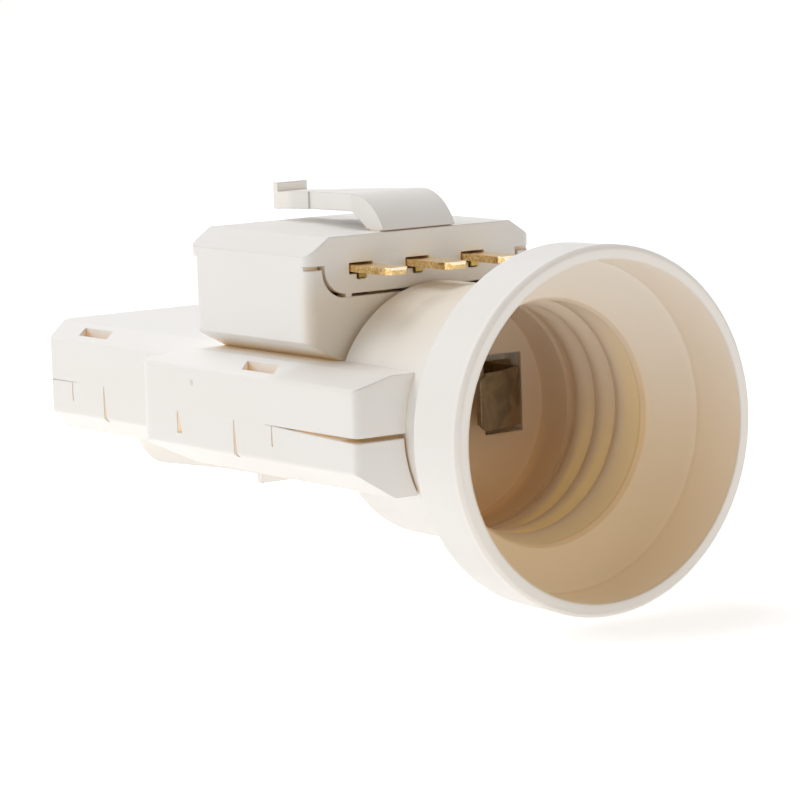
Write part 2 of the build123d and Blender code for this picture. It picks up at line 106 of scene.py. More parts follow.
HOLLOW_REACH = 1.8
HOLLOW_STEPS = ((0.12, 0.62), (0.35, 0.22))
HOLLOW_END = 0.75
EDGE_ROUND = 0.26
LIP_ROUND = 0.65
# the cup: spans from where a colour begins to where it is full
LIP_X = (10.6, 11.9)
LIP_ROUND_X = (9.5, 11.0)
RIM_X = (0.0, 1.0)
RIM_RADIUS = (18.8, 19.0)
CUP_DEPTH_X = (12.0, -16.0)
CUP_LOW_Z = (18.0, -18.0)
CUP_FRONT_X = (4.2, 6.0)
CONE_Z = (14.0, -14.0)
CONE_X = (1.0, 5.0)
CONE_RADIUS = (13.75, 18.6)
BORE_X = (2.0, -13.0)
FLOOR_X = (-14.0, -16.0)
FLOOR_Z = (3.0, -12.0)
CUP_BACK_X = (-17.0, -16.6)
CUP_SKIN = (-0.05, 0.1)
ENTRY_BACK_X = (0.2, 0.8)
ENTRY_FRONT_X = (3.0, 1.2)
ENTRY_Z = (12.0, -4.0)
ENTRY_SHARE = (0.3, 0.85)
# the neck, the housing and its inside
NECK_Z = (3.0, 13.0)
NECK_BACK_X = (-20.0, -18.0)
NECK_FRONT_X = (2.5, -6.0)
ROOF_Z = (4.6, 5.6)
ROOF_X = (-19.0, -22.0)
GATE_PLACE = (-36.15, -21.6, 3.46)
GATE_RADIUS = (0.5, 0.2)
SEAM_X = (-70.5, -21.5)
SEAM_Z = (-0.4, 0.4)
WALL = 1.6
WIDE_HALF = 21.6
NARROW_HALF = 16.0
WIDE_BACK_X = -48.0
SHELL_HIGH = 6.4
SHOULDER_HIGH = 5.2
SHOULDER_SLOPE = 0.25
BELOW_ROOF = 0.15
WINDOW_BITE = 0.35
NECK_RADIUS = 14.3
NECK_END_X = -19.5
INSIDE_LOW_Z = -3.5
REAR_WINDOW_X = (-75.5, -60.0)
FRONT_WINDOW_X = (-30.2, -5.5)
NARROW_SIDE_X = (-75.5, -50.5)
WIDE_SIDE_X = (-46.0, -7.0)
SLIT_DEPTH = (0.12, WALL - 0.05)
SLIT_Z = (-3.85, -0.15)


def add_node(tree, kind, **settings):
    made = tree.nodes.new(kind)
    for key, value in settings.items():
        setattr(made, key, value)
    return made


def feed(tree, value, socket):
    """Links a socket to another node's output, or sets it to a plain value."""
    if isinstance(value, bpy.types.NodeSocket):
        tree.links.new(value, socket)
    else:
        socket.default_value = value


def math_node(tree, operation, *values):
    made = add_node(tree, "ShaderNodeMath", operation=operation)
    for socket, value in zip(made.inputs, values):
        feed(tree, value, socket)
    return made.outputs[0]


def product(tree, first, *others):
    for other in others:
        first = math_node(tree, "MULTIPLY", first, other)
    return first


def range_node(tree, value, low, high, to_low=0.0, to_high=1.0, shape="SMOOTHSTEP"):
    made = add_node(tree, "ShaderNodeMapRange", interpolation_type=shape)
    for name, given in (("Value", value), ("From Min", low), ("From Max", high),
                        ("To Min", to_low), ("To Max", to_high)):
        feed(tree, given, made.inputs[name])
    return made.outputs["Result"]


def fade(tree, value, span, to_low=0.0, to_high=1.0):
    """A soft step over a span of millimetres."""
    return range_node(tree, value, span[0] * MM, span[1] * MM, to_low, to_high)


def between(tree, value, span):
    """1 where a coordinate lies within a span of millimetres."""
    above = math_node(tree, "GREATER_THAN", value, span[0] * MM)
    return product(tree, above, math_node(tree, "LESS_THAN", value, span[1] * MM))


def mix_colours(tree, share, first, second):
    made = add_node(tree, "ShaderNodeMix", data_type="RGBA")
    for place, value in ((0, share), (6, first), (7, second)):
        feed(tree, value, made.inputs[place])
    return made.outputs[2]


def object_place(tree):
    return add_node(tree, "ShaderNodeTexCoord").outputs["Object"]


def split(tree, vector):
    made = add_node(tree, "ShaderNodeSeparateXYZ")
    feed(tree, vector, made.inputs["Vector"])
    return made.outputs["X"], made.outputs["Y"], made.outputs["Z"]


def noise(tree, place, scale, detail, distortion=0.0, stretch_x=1.0):
    if stretch_x != 1.0:
        stretch = add_node(tree, "ShaderNodeMapping")
        stretch.inputs["Scale"].default_value = (stretch_x, 1.0, 1.0)
        feed(tree, place, stretch.inputs["Vector"])
        place = stretch.outputs["Vector"]
    made = add_node(tree, "ShaderNodeTexNoise")
    for name, value in (("Vector", place), ("Scale", scale), ("Detail", detail),
                        ("Distortion", distortion)):
        feed(tree, value, made.inputs[name])
    return made.outputs["Fac"]


def swing(tree, value, amount):
    """A noise turned into a change up and down."""
    return product(tree, math_node(tree, "SUBTRACT", value, 0.5), amount)


def new_group(name, inputs, outputs):
    """A node group with colour sockets and value sockets; returns it with what it gets and gives."""
    group = bpy.data.node_groups.new(name, "ShaderNodeTree")
    for in_out, sockets in (("INPUT", inputs), ("OUTPUT", outputs)):
        for label in sockets:
            kind = "NodeSocketColor" if label in COLOUR_SOCKETS else "NodeSocketFloat"
            group.interface.new_socket(label, in_out=in_out, socket_type=kind)
    return group, add_node(group, "NodeGroupInput").outputs, add_node(group, "NodeGroupOutput").inputs


def moulded_skin_group():
    group, given, result = new_group(
        "moulded_skin", ("Colour", "Flow Colour", "Grain", "Gloss Spread"),
        ("Colour", "Roughness", "Height"))
    place = object_place(group)
    # the spark-eroded skin, about a tenth of a millimetre
    grain = noise(group, place, scale=given["Grain"], detail=2.0)
    # the slow change of colour where the melt ran and cooled
    flow = noise(group, place, scale=130.0, detail=3.0, distortion=0.6, stretch_x=0.35)
    share = range_node(group, flow, low=0.38, high=0.72)
    feed(group, mix_colours(group, share, given["Colour"], given["Flow Colour"]), result["Colour"])
    uneven = math_node(group, "ADD", swing(group, flow, amount=0.18), swing(group, grain, amount=0.22))
    feed(group, math_node(group, "ADD", given["Gloss Spread"], uneven), result["Roughness"])
    feed(group, grain, result["Height"])
    return group


def hollow_painted_shade_group():
    group, given, result = new_group("hollow_painted_shade", ("Colour", "Shade Colour", "Reach"), ("Colour",))
    # painted shade: hollows, creases and gaps between parts are painted darker and warmer the more
    # sheltered they are
    shelter = add_node(group, "ShaderNodeAmbientOcclusion", samples=8)
    feed(group, given["Reach"], shelter.inputs["Distance"])
    share = add_node(group, "ShaderNodeValToRGB")
    feed(group, shelter.outputs["AO"], share.inputs["Fac"])
    steps = share.color_ramp.elements
    steps[0].position = 0.0
    steps[0].color = (1.0, 1.0, 1.0, 1.0)
    steps[1].position = HOLLOW_END
    steps[1].color = BLACK
    for place, grey in HOLLOW_STEPS:
        steps.new(place).color = (grey, grey, grey, 1.0)
    tinted = mix_colours(group, share.outputs["Color"], given["Colour"], given["Shade Colour"])
    feed(group, tinted, result["Colour"])
    return group


def new_material(name, group, values, edge, bump_strength, bump_depth):
    """A material that takes its skin from a node group, with softened edges."""
    made = bpy.data.materials.new(name)
    made.use_nodes = True
    tree = made.node_tree
    shader = tree.nodes["Principled BSDF"].inputs
    skin = add_node(tree, "ShaderNodeGroup", node_tree=group)
    for label, value in values.items():
        skin.inputs[label].default_value = value
    soft = add_node(tree, "ShaderNodeBevel", samples=6)
    soft.inputs["Radius"].default_value = edge * MM
    bump = add_node(tree, "ShaderNodeBump")
    bump.inputs["Strength"].default_value = bump_strength
    bump.inputs["Distance"].default_value = bump_depth * MM
    feed(tree, skin.outputs["Height"], bump.inputs["Height"])
    feed(tree, soft.outputs["Normal"], bump.inputs["Normal"])
    feed(tree, skin.outputs["Colour"], shader["Base Color"])
    feed(tree, skin.outputs["Roughness"], shader["Roughness"])
    feed(tree, bump.outputs["Normal"], shader["Normal"])
    return SimpleNamespace(
        material=made, tree=tree, shader=shader, skin=skin.outputs["Colour"], soft=soft, bump=bump)


def plastic(name, colour, flow_colour, gloss, edge, grain=9000.0, skin_depth=0.006):
    """A moulded plastic, with painted warm shade in its hollows."""
    look = new_material(
        name, moulded_skin,
        {"Colour": colour, "Flow Colour": flow_colour, "Grain": grain, "Gloss Spread": gloss},
        edge, bump_strength=0.35, bump_depth=skin_depth)
    look.shader["IOR"].default_value = PLASTIC_IOR
    hollow_shade = add_node(look.tree, "ShaderNodeGroup", node_tree=hollow_painted_shade)
    hollow_shade.inputs["Shade Colour"].default_value = HOLLOW_SHADE_COLOUR
    hollow_shade.inputs["Reach"].default_value = HOLLOW_REACH * MM
    feed(look.tree, look.skin, hollow_shade.inputs["Colour"])
    feed(look.tree, hollow_shade.outputs["Colour"], look.shader["Base Color"])
    look.tint_from, look.tinted = hollow_shade.inputs["Colour"], hollow_shade.outputs["Colour"]
    return look


def close_seam(look, shut):
    """Leaves the edges sharp where two halves meet without a gap, so that no line shows there."""
    tree = look.tree
    flat = add_node(tree, "ShaderNodeNewGeometry")
    pick = add_node(tree, "ShaderNodeMix", data_type="VECTOR")
    for place, value in ((0, shut), (4, look.soft.outputs["Normal"]), (5, flat.outputs["Normal"])):
        feed(tree, value, pick.inputs[place])
    feed(tree, pick.outputs[1], look.bump.inputs["Normal"])


def paint_inside_glow(look, x, y, z, radius):
    """Painted light: a warm glow emitted by the shell's own surface inside the closed housing, which
    shows only through its windows and gaps.
    """
    tree = look.tree
    wide = math_node(tree, "GREATER_THAN", x, (WIDE_BACK_X + WALL) * MM)
    half = math_node(tree, "ADD", product(tree, wide, (WIDE_HALF - NARROW_HALF) * MM), NARROW_HALF * MM)
    depth = math_node(tree, "SUBTRACT", half, math_node(tree, "ABSOLUTE", y))
    shoulder = math_node(tree, "ADD", SHOULDER_HIGH * MM, product(tree, depth, SHOULDER_SLOPE))
    top = math_node(tree, "MINIMUM", SHELL_HIGH * MM, shoulder)
    beside_neck = math_node(tree, "MAXIMUM", math_node(tree, "GREATER_THAN", radius, NECK_RADIUS * MM),
                            math_node(tree, "LESS_THAN", x, NECK_END_X * MM))
    share = product(
        tree,
        math_node(tree, "GREATER_THAN", math_node(tree, "SUBTRACT", top, z), BELOW_ROOF * MM),
        math_node(tree, "GREATER_THAN", depth, (WALL - WINDOW_BITE) * MM),
        math_node(tree, "MAXIMUM", between(tree, x, REAR_WINDOW_X), between(tree, x, FRONT_WINDOW_X)),
        math_node(tree, "GREATER_THAN", z, INSIDE_LOW_Z * MM),
        beside_neck)
    # the slits beside the snap arms go through the wall, and its cut edges get the strongest painted
    # glow
    sides = math_node(tree, "MAXIMUM", between(tree, x, NARROW_SIDE_X), between(tree, x, WIDE_SIDE_X))
    slit = product(tree, sides, between(tree, depth, SLIT_DEPTH), between(tree, z, SLIT_Z))
    glow = mix_colours(tree, share, BLACK, INSIDE_PAINTED_GLOW)
    look.shader["Emission Strength"].default_value = 1.0
    feed(tree, mix_colours(tree, slit, glow, SLIT_PAINTED_GLOW), look.shader["Emission Color"])


def cup_painted_light(tree, x, z, low_share, mouth_share, floor_share, entry=None):
    """The cup's white with painted light and shade: darker and warmer towards the bottom and the
    floor, a painted yellow glow at the mouth, painted brown shade in the bore, a painted orange glow
    low on the floor."""
    cone = mix_colours(tree, fade(tree, z, CONE_Z), CONE_PAINTED_LIT, CONE_PAINTED_SHADE)
    white = mix_colours(tree, fade(tree, x, CUP_FRONT_X), cone, MOUTH_PAINTED_LIGHT)
    share = math_node(tree, "ADD", fade(tree, x, CUP_DEPTH_X, mouth_share, floor_share),
                      fade(tree, z, CUP_LOW_Z, 0.0, low_share))
    if entry is not None:
        share = math_node(tree, "MAXIMUM", share, entry)
    bore = mix_colours(tree, fade(tree, x, BORE_X), MOUTH_PAINTED_GLOW, BORE_PAINTED_SHADE)
    floor_low = product(tree, fade(tree, x, FLOOR_X), fade(tree, z, FLOOR_Z))
    return mix_colours(tree, share, white, mix_colours(tree, floor_low, bore, CUP_FLOOR_PAINTED_GLOW))


def wear(node_name, look):
    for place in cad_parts[node_name].material_slots:
        place.material = look.material


moulded_skin = moulded_skin_group()
hollow_painted_shade = hollow_painted_shade_group()
housing = plastic("housing_white", SHELL_WHITE, SHELL_FLOW, SHELL_GLOSS, EDGE_ROUND)
tree = housing.tree
place = object_place(tree)
x, y, z = split(tree, place)
radius = math_node(tree, "SQRT", math_node(
    tree, "ADD", math_node(tree, "POWER", y, 2.0), math_node(tree, "POWER", z, 2.0)))
# painted light: the lip at the cup's mouth is painted lighter and warmer
lit = mix_colours(tree, fade(tree, x, LIP_X), housing.skin, LIP_PAINTED_LIGHT)
# painted light: the housing's roof, which is thin, is painted lighter
lit = mix_colours(tree, product(tree, fade(tree, z, ROOF_Z), fade(tree, x, ROOF_X)), lit, ROOF_PAINTED_LIGHT)
# painted shade: the small dimple that the mould's gate left on the near side is painted as a darker
# spot
gate = add_node(tree, "ShaderNodeVectorMath", operation="DISTANCE")
feed(tree, place, gate.inputs[0])
gate.inputs[1].default_value = Vector(GATE_PLACE) * MM
lit = mix_colours(tree, fade(tree, gate.outputs["Value"], GATE_RADIUS), lit, GATE_PAINTED_SHADE)
# inside the cup, whose wall widens from the thread to the mouth, light and shade are painted
wall = range_node(tree, x, CONE_X[0] * MM, CONE_X[1] * MM,
                  CONE_RADIUS[0] * MM, CONE_RADIUS[1] * MM, shape="LINEAR")
inside = product(tree, fade(tree, math_node(tree, "SUBTRACT", wall, radius), CUP_SKIN),
                 fade(tree, x, CUP_BACK_X))
# painted shade: the neck's wall is thin, and its top, in the nook between the plug and the cup, is
# painted darker and warmer
neck = product(tree, fade(tree, z, NECK_Z), fade(tree, x, NECK_BACK_X), fade(tree, x, NECK_FRONT_X),
               math_node(tree, "SUBTRACT", 1.0, inside))
lit = mix_colours(tree, neck, lit, NECK_PAINTED_SHADE)
# the entry ring of the bore is painted with the yellow glow too
entry = product(tree, fade(tree, x, ENTRY_BACK_X), fade(tree, x, ENTRY_FRONT_X),
                fade(tree, z, ENTRY_Z, *ENTRY_SHARE))
lit = mix_colours(tree, inside, lit, cup_painted_light(
    tree, x, z, low_share=0.60, mouth_share=0.07, floor_share=0.36, entry=entry))
feed(tree, lit, housing.tint_from)
# the painted hollow shade is kept off the outside of the rim, where nothing is hollow
rim = product(tree, fade(tree, radius, RIM_RADIUS), fade(tree, x, RIM_X))
feed(tree, mix_colours(tree, rim, housing.tinted, lit), housing.shader["Base Color"])
feed(tree, fade(tree, x, LIP_ROUND_X, EDGE_ROUND * MM, LIP_ROUND * MM), housing.soft.inputs["Radius"])
close_seam(housing, product(tree, between(tree, z, SEAM_Z), between(tree, x, SEAM_X)))
paint_inside_glow(housing, x, y, z, radius)
wear("holder_shell", housing)

# ---------------------------------------------------------------------------
# Lamp thread: three turns of rounded ridge moulded in the bore of the cup,
# right-handed and running out into the wall at both ends. Same plastic.
RIDGE_PITCH = 3.62
RIDGE_TURNS = 2.75
RIDGE_FRONT = 1.1
RIDGE_WALL = 13.38
RIDGE_HEIGHT = 0.85
RIDGE_WIDTH = RIDGE_PITCH * 0.985
RIDGE_BOW = 0.8
RIDGE_POINTS = 12
RIDGE_STEPS = 90
ROOT_DEEP = 0.25
SINK = 0.04
RISE_TURN = 0.2
FALL_TURN = 0.45
LEAD_IN_X = 1.0
LEAD_IN_END = 0.98
LEAD_IN_FADE = 0.3
LEAD_IN_BOW = 1.25
TURN_SLACK = 0.005
MERGE = 0.001
SHARP_ANGLE = 40
FLANK_PAINTED_GLOW = (1.0, 0.77, 0.36, 1.0)
FLANK_FACING = (0.1, 0.5)
FLANK_LOW_Z = (5.0, -9.0)
FLANK_SHARE = 0.9
FLANK_ENTRY_X = (-3.2, -0.8)


def clamped(share):
    return min(1.0, max(0.0, share))


def eased(share):
    return share * share * (3 - 2 * share)


ridge = bmesh.new()
section = []
for step in range(RIDGE_POINTS + 1):
    share = step / RIDGE_POINTS
    section.append(ridge.verts.new(Vector((
        RIDGE_FRONT - RIDGE_WIDTH * share,
        0.0,
        RIDGE_WALL - RIDGE_HEIGHT * math.sin(math.pi * share) ** RIDGE_BOW,
    )) * MM))
for end in (section[-1], section[0]):
    section.append(ridge.verts.new((end.co.x, 0.0, (RIDGE_WALL + ROOT_DEEP) * MM)))
start = ridge.faces.new(section)
steps = int(RIDGE_STEPS * RIDGE_TURNS)
bmesh.ops.spin(
    ridge, geom=[start] + list(start.edges) + list(start.verts), cent=(0, 0, 0), axis=(1, 0, 0),
    dvec=(-RIDGE_PITCH * MM / RIDGE_STEPS, 0, 0), angle=-math.tau * steps / RIDGE_STEPS, steps=steps,
)
bmesh.ops.remove_doubles(ridge, verts=ridge.verts[:], dist=MERGE * MM)
# the ridge sinks into the wall towards both ends, and the front flank of its
# first turn is drawn out to the mouth as a lead-in
crest_back = RIDGE_WIDTH / 2 * MM
sunk = (RIDGE_WALL + SINK) * MM
for vert in ridge.verts:
    vert_radius = math.hypot(vert.co.y, vert.co.z)
    round_share = (math.atan2(vert.co.y, vert.co.z) / math.tau) % 1.0
    passed = (RIDGE_FRONT * MM - vert.co.x) / (RIDGE_PITCH * MM) - round_share
    turn_at = math.floor(passed + TURN_SLACK) + round_share
    rise = eased(clamped(turn_at / RISE_TURN) * clamped((RIDGE_TURNS - turn_at) / FALL_TURN))
    crest_x = RIDGE_FRONT * MM - RIDGE_PITCH * MM * turn_at - crest_back
    ahead = (vert.co.x - crest_x) / crest_back
    wanted = sunk + (vert_radius - sunk) * rise
    if ahead > 0.0:
        drawn = eased(clamped((LEAD_IN_END - turn_at) / LEAD_IN_FADE))
        slope = sunk - (RIDGE_HEIGHT + SINK) * MM * (1 - min(1.0, ahead) ** LEAD_IN_BOW) * rise
        wanted += (slope - wanted) * drawn
        vert.co.x += (crest_x + ahead * (LEAD_IN_X * MM - crest_x) - vert.co.x) * drawn
    if vert_radius < sunk:
        vert.co.y *= wanted / vert_radius
        vert.co.z *= wanted / vert_radius
bmesh.ops.recalc_face_normals(ridge, faces=ridge.faces[:])
thread_mesh = bpy.data.meshes.new("lamp_thread_ridge")
ridge.to_mesh(thread_mesh)
ridge.free()
thread_mesh.shade_smooth()
thread_mesh.set_sharp_from_angle(angle=math.radians(SHARP_ANGLE))
thread = bpy.data.objects.new("lamp_thread_ridge", thread_mesh)
scene.collection.objects.link(thread)
thread_white = plastic("thread_white", SHELL_WHITE, SHELL_FLOW, gloss=0.40, edge=0.1)
tree = thread_white.tree
x, _, z = split(tree, object_place(tree))
# painted light: the ridge's flanks that face the mouth are painted golden, low in the bore and at the
# entry
facing_x = split(tree, add_node(tree, "ShaderNodeNewGeometry").outputs["Normal"])[0]
entry = product(tree, fade(tree, x, FLANK_ENTRY_X), fade(tree, z, ENTRY_Z, *ENTRY_SHARE))
golden = math_node(tree, "MAXIMUM", fade(tree, z, FLANK_LOW_Z, 0.0, FLANK_SHARE), entry)
flank = product(tree, range_node(tree, facing_x, *FLANK_FACING), golden)
crest = cup_painted_light(tree, x, z, low_share=0.42, mouth_share=0.04, floor_share=0.31)
feed(tree, mix_colours(tree, flank, crest, FLANK_PAINTED_GLOW), thread_white.tint_from)
thread_mesh.materials.append(thread_white.material)
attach(thread, "holder")

# ---------------------------------------------------------------------------
# Leads: brass strips from the lamp contacts along the housing to its rear,
# where they come out as two blades. Stamped from sheet, a little tarnished.
STRIP_BRIGHT = (0.83, 0.62, 0.27, 1.0)
STRIP_DULL = (0.66, 0.45, 0.17, 1.0)
DULL_SPREAD = 0.16


def tarnish_group():
    group, given, result = new_group(
        "tarnish", ("Bright", "Dull", "Patch", "Polish"), ("Colour", "Roughness", "Height"))
    place = object_place(group)
    patches = noise(group, place, scale=given["Patch"], detail=5.0, distortion=0.8)
    share = range_node(group, patches, low=0.4, high=0.68)
    feed(group, mix_colours(group, share, given["Bright"], given["Dull"]), result["Colour"])
    # the lines that rolling leaves along the strip
    rolled = noise(group, place, scale=5200.0, detail=2.0, stretch_x=0.12)
    duller = product(group, share, DULL_SPREAD)
    uneven = math_node(group, "ADD", duller, swing(group, rolled, amount=0.25))
    feed(group, math_node(group, "ADD", given["Polish"], uneven), result["Roughness"])
    feed(group, rolled, result["Height"])
    return group


def metal(name, bright, dull, polish, edge, patch=420.0):
    """A metal with dull patches and rolling lines."""
    look = new_material(
        name, tarnish, {"Bright": bright, "Dull": dull, "Patch": patch, "Polish": polish},
        edge, bump_strength=0.3, bump_depth=0.004)
    look.shader["Metallic"].default_value = 1.0
    return look


tarnish = tarnish_group()
strip_brass = metal("strip_brass", STRIP_BRIGHT, STRIP_DULL, polish=0.26, edge=0.12)
for lead in ("live_lead", "neutral_lead"):
    wear(lead, strip_brass)

# ---------------------------------------------------------------------------
# Lamp contacts: two bent strips of dark spring metal in the cup, one for the
# foot of the lamp and one for its thread, the side one held by a rivet.
SPRING_BRIGHT = (0.36, 0.295, 0.20, 1.0)
SPRING_DULL = (0.22, 0.17, 0.105, 1.0)
spring_dark = metal("contact_spring", SPRING_BRIGHT, SPRING_DULL, polish=0.46, edge=0.15, patch=260.0)
for contact in ("center_contact", "side_contact"):
    wear(contact, spring_dark)
wear("side_contact_rivet", strip_brass)

# ---------------------------------------------------------------------------
# Lower cover: the housing's lower half, snapped into four windows of the shell.
# Moulded of the same white plastic as the shell.
wear("lower_cover", housing)

# ---------------------------------------------------------------------------
# Holder latch: sprung lever under the rear of the housing, moulded in a tougher
# white plastic with a slightly smoother skin; its thin pad is painted lighter, as painted light.
LEVER_WHITE = (0.885, 0.868, 0.842, 1.0)
LEVER_FLOW = (0.875, 0.853, 0.82, 1.0)
PAD_PAINTED_LIGHT = (0.97, 0.935, 0.885, 1.0)
PAD_X = (-40.0, -42.0)
lever = plastic("lever_white", LEVER_WHITE, LEVER_FLOW, gloss=0.38, edge=0.25, grain=11000.0,
                skin_depth=0.004)
tree = lever.tree
x = split(tree, object_place(tree))[0]
# painted light: the thin pad is painted lighter
feed(tree, mix_colours(tree, fade(tree, x, PAD_X), lever.skin, PAD_PAINTED_LIGHT), lever.tint_from)
wear("holder_latch", lever)

# ---------------------------------------------------------------------------
# Plug base: lower half of the plug that sits on the housing, with the cord's
# way in at its back. Moulded white plastic, with painted warm shade at its front under the lid.
PLUG_WHITE = (0.875, 0.861, 0.84, 1.0)
PLUG_FLOW = (0.865, 0.845, 0.818, 1.0)
PLUG_FRONT_PAINTED_SHADE = (0.80, 0.725, 0.62, 1.0)
PLUG_FRONT_X = (-21.5, -19.3)
PLUG_FRONT_Z = (18.5, 12.0)
PLUG_SEAM_X = (-42.0, -20.6)
PLUG_SEAM_Z = (16.8, 17.4)
plug = plastic("plug_white", PLUG_WHITE, PLUG_FLOW, gloss=0.44, edge=0.24)
tree = plug.tree
x, _, z = split(tree, object_place(tree))
# painted shade: the plug's front, low in the nook, is painted darker and warmer
nook = product(tree, fade(tree, x, PLUG_FRONT_X), fade(tree, z, PLUG_FRONT_Z))
feed(tree, mix_colours(tree, nook, plug.skin, PLUG_FRONT_PAINTED_SHADE), plug.tint_from)
close_seam(plug, product(tree, between(tree, z, PLUG_SEAM_Z), between(tree, x, PLUG_SEAM_X)))
wear("plug_base", plug)

# ---------------------------------------------------------------------------
# Terminals: three brass pillars in the plug, each with a zinc-plated steel
# screw, and the cord clamp held by two more screws.
ZINC_BRIGHT = (0.62, 0.62, 0.61, 1.0)
ZINC_DULL = (0.46, 0.46, 0.45, 1.0)
for pole in ("live", "earth", "neutral"):
    wear(pole + "_terminal", strip_brass)
screw_zinc = metal("screw_zinc", ZINC_BRIGHT, ZINC_DULL, polish=0.3, edge=0.08, patch=700.0)
for screws in ("terminal_screws", "clamp_screws"):
    wear(screws, screw_zinc)
wear("cord_clamp", plug)

# ---------------------------------------------------------------------------
# Plug blades: three brass blades that come out of the lid's front plate, each
# with an eye under its terminal screw and a keel below its root. Punched from
# bright strip, with sheared sides and a pressed tip.
BLADE_BRIGHT = (0.93, 0.68, 0.33, 1.0)
BLADE_DULL = (0.84, 0.57, 0.24, 1.0)
SHEARED_DARK = (0.76, 0.49, 0.18, 1.0)
SHEARED_LIGHT = (1.0, 0.79, 0.44, 1.0)
EDGE_PAINTED_HIGHLIGHT = (1.0, 0.92, 0.72, 1.0)
KEEL_BROWN = (0.36, 0.24, 0.07, 1.0)
BLADE_THICK = 0.78
BLADE_HALF = 1.5
TIP_CUT = 0.55
TIP_PRESS = 0.26
EDGE_BURR = 0.05
EYE_LONG = 6.0
EYE_HALF = 2.7
EYE_HOLE = 1.25
EYE_STEPS = 24
KEEL_HALF = 0.5
KEEL_FRONT = -18.75
KEEL_BACK = -22.05
KEEL_LAP = 0.1
KEEL_BROWN_FROM = 0.02
HIGHLIGHT_LYING = (0.97, 0.9)
SHEARED_LYING = (0.45, 0.25)
BURR_ANGLE = 1.0
NEAR = 0.01
blade_brass = metal("blade_brass", BLADE_BRIGHT, BLADE_DULL, polish=0.15, edge=0.04, patch=900.0)
tree = blade_brass.tree
place = object_place(tree)
z = split(tree, place)[2]
facing_z = split(tree, add_node(tree, "ShaderNodeNewGeometry").outputs["True Normal"])[2]
lying = math_node(tree, "ABSOLUTE", facing_z)
torn = range_node(tree, noise(tree, place, scale=5200.0, detail=3.0), low=0.42, high=0.62)
sheared = mix_colours(tree, torn, SHEARED_DARK, SHEARED_LIGHT)
# painted highlight: the bevelled edges of the blade's top are painted a pale, bright brass
edge_highlight = mix_colours(tree, range_node(tree, lying, *HIGHLIGHT_LYING), blade_brass.skin, EDGE_PAINTED_HIGHLIGHT)
sides = mix_colours(tree, range_node(tree, lying, *SHEARED_LYING), edge_highlight, sheared)
# the keel below the blade's root is coloured a dark brown
blade_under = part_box("plug_earth_blade")[1].z - BLADE_THICK * MM
keel = range_node(tree, z, blade_under - KEEL_BROWN_FROM * MM, blade_under - KEEL_LAP * MM)
feed(tree, mix_colours(tree, keel, sides, KEEL_BROWN), blade_brass.shader["Base Color"])


def round_edges(mesh, edges, width):
    bmesh.ops.bevel(mesh, geom=edges, offset=width * MM, offset_type="OFFSET", segments=2, profile=0.5,
                    affect="EDGES", material=-1)


for pole in ("live", "earth", "neutral"):
    node = "plug_" + pole + "_blade"
    low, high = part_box(node)
    middle = (low.y + high.y) / 2
    tip, eye_back, eye_front = high.x, low.x, low.x + EYE_LONG * MM
    under = high.z - BLADE_THICK * MM
    half_outline = (
        (tip, BLADE_HALF - TIP_CUT), (tip - TIP_CUT * MM, BLADE_HALF),
        (eye_front + BLADE_HALF * MM, BLADE_HALF), (eye_front, EYE_HALF), (eye_back, EYE_HALF),
    )
    blade = bmesh.new()
    ring = [blade.verts.new((at, middle + wide * MM, under)) for at, wide in half_outline]
    ring += [blade.verts.new((at, middle - wide * MM, under)) for at, wide in reversed(half_outline)]
    for k in range(len(ring)):
        blade.edges.new((ring[k - 1], ring[k]))
    bmesh.ops.create_circle(
        blade, cap_ends=False, segments=EYE_STEPS, radius=EYE_HOLE * MM,
        matrix=Matrix.Translation((eye_back + EYE_LONG / 2 * MM, middle, under)))
    bmesh.ops.triangle_fill(blade, use_beauty=True, use_dissolve=False, edges=blade.edges[:])
    raised = bmesh.ops.extrude_face_region(blade, geom=blade.faces[:])["geom"]
    raised = [part for part in raised if isinstance(part, bmesh.types.BMVert)]
    bmesh.ops.translate(blade, verts=raised, vec=(0, 0, BLADE_THICK * MM))
    bmesh.ops.recalc_face_normals(blade, faces=blade.faces[:])
    round_edges(blade, [edge for edge in blade.edges if all(
        abs(vert.co.x - tip) < NEAR * MM and abs(vert.co.z - high.z) < NEAR * MM
        for vert in edge.verts)], TIP_PRESS)
    round_edges(blade, [edge for edge in blade.edges if edge.calc_face_angle(0.0) > BURR_ANGLE and all(
        vert.co.x > eye_front + (BLADE_HALF + NEAR) * MM for vert in edge.verts)], EDGE_BURR)
    foot = bmesh.ops.create_cube(blade, size=1.0)["verts"]
    keel_top = under + KEEL_LAP * MM
    bmesh.ops.scale(blade, verts=foot, vec=(
        (KEEL_FRONT - KEEL_BACK) * MM, 2 * KEEL_HALF * MM, keel_top - low.z))
    bmesh.ops.translate(blade, verts=foot, vec=(
        (KEEL_FRONT + KEEL_BACK) / 2 * MM, middle, (low.z + keel_top) / 2))
    round_edges(blade, [edge for edge in blade.edges if all(
        vert in foot for vert in edge.verts)], EDGE_BURR)
    blade_mesh = bpy.data.meshes.new(node + "_punched")
    blade.to_mesh(blade_mesh)
    blade.free()
    blade_mesh.materials.append(blade_brass.material)
    punched = bpy.data.objects.new(node + "_punched", blade_mesh)
    scene.collection.objects.link(punched)
    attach(punched, "holder")
    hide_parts(node)

# ---------------------------------------------------------------------------
# Plug lid: upper half of the plug with the front plate. Same plastic as the
# base, snapped over it.
wear("plug_lid", plug)

# ---------------------------------------------------------------------------
# Plug latch: sprung lever on top of the plug, bent up from the lid's front and
# reaching over its back. Same plastic as the lever under the housing.
wear("plug_latch", lever)

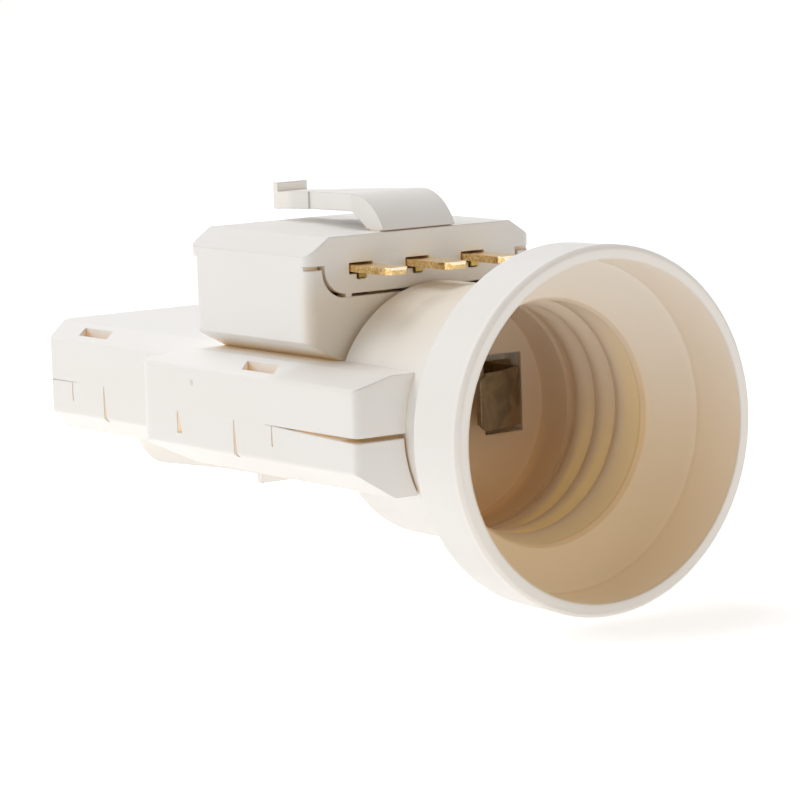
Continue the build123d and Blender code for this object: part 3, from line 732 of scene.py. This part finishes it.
# ---------------------------------------------------------------------------
# Studio: a wide white paper floor under the cup's rim that runs out of sight,
# four soft lamps (above, behind, beside, in front) and an even white surround.
# Floor and surround are shown whiter than the light that they give.
PAPER_GREY = (0.90, 0.90, 0.90, 1.0)
WARM_BOUNCE = (1.0, 0.965, 0.92, 1.0)
PLAIN_WHITE = (1.0, 1.0, 1.0, 1.0)
WORLD_LIGHT = 0.38
WORLD_SHOWN = 0.62
FLOOR_GAP = 0.3
FLOOR_LIGHT = 0.36
FLOOR_SHOWN_NEAR = 0.19
FLOOR_SHOWN_FAR = 0.32
FLOOR_FADE = (150.0, 1200.0)
# in metres; each lamp with its name, place, size and watts
FLOOR_SIZE = 30.0
LAMP_AIM = (-0.03, 0, 0)
LAMP_COLOUR = (0.985, 0.99, 1.0)
LAMPS = (
    ("top_lamp", (-0.40, 0.05, 0.8), 0.5, 2.4),
    ("back_lamp", (-0.55, -0.6, 0.6), 0.6, 2.5),
    ("near_lamp", (0.05, -0.8, 0.1), 0.4, 0.45),
    ("front_lamp", (0.62, 0.5, 0.08), 0.4, 0.65),
)


def rays_that_show(tree):
    """1 for the rays that show the studio, directly or in a reflection, and 0 for its light."""
    ray = add_node(tree, "ShaderNodeLightPath").outputs
    mirrored = math_node(tree, "MAXIMUM", ray["Is Glossy Ray"], ray["Is Transmission Ray"])
    return math_node(tree, "MAXIMUM", ray["Is Camera Ray"], mirrored)


floor_mesh = bpy.data.meshes.new("studio_floor")
sheet = bmesh.new()
bmesh.ops.create_grid(sheet, x_segments=1, y_segments=1, size=FLOOR_SIZE)
bmesh.ops.translate(sheet, verts=sheet.verts[:], vec=(0, 0, cad_box[0].z - FLOOR_GAP * MM))
sheet.to_mesh(floor_mesh)
sheet.free()
floor = bpy.data.objects.new("studio_floor", floor_mesh)
scene.collection.objects.link(floor)
paper = bpy.data.materials.new("white_paper")
paper.use_nodes = True
tree = paper.node_tree
shader = tree.nodes["Principled BSDF"].inputs
shader["Base Color"].default_value = PAPER_GREY
shader["Roughness"].default_value = 0.9
shader["Specular IOR Level"].default_value = 0.0
seen = rays_that_show(tree)
feed(tree, mix_colours(tree, seen, WARM_BOUNCE, PLAIN_WHITE), shader["Emission Color"])
# the far floor gets less of the lamps, so it is shown a little brighter
away = add_node(tree, "ShaderNodeVectorMath", operation="LENGTH")
feed(tree, object_place(tree), away.inputs[0])
brighter = fade(tree, away.outputs["Value"], FLOOR_FADE, FLOOR_SHOWN_NEAR, FLOOR_SHOWN_FAR)
shown = product(tree, seen, brighter)
feed(tree, math_node(tree, "ADD", shown, FLOOR_LIGHT), shader["Emission Strength"])
floor_mesh.materials.append(paper)

world = bpy.data.worlds.new("white_surround")
scene.world = world
world.use_nodes = True
tree = world.node_tree
backing = tree.nodes["Background"].inputs
seen = rays_that_show(tree)
feed(tree, mix_colours(tree, seen, WARM_BOUNCE, PLAIN_WHITE), backing["Color"])
feed(tree, math_node(tree, "ADD", product(tree, seen, WORLD_SHOWN), WORLD_LIGHT), backing["Strength"])

for name, place, size, watts in LAMPS:
    lamp = bpy.data.lights.new(name, "AREA")
    lamp.shape = "DISK"
    lamp.size = size
    lamp.energy = watts
    lamp.color = LAMP_COLOUR
    hung = bpy.data.objects.new(name, lamp)
    scene.collection.objects.link(hung)
    hung.location = place
    hung.rotation_euler = (Vector(LAMP_AIM) - Vector(place)).to_track_quat("-Z", "Y").to_euler()
scene.view_settings.view_transform = "Standard"
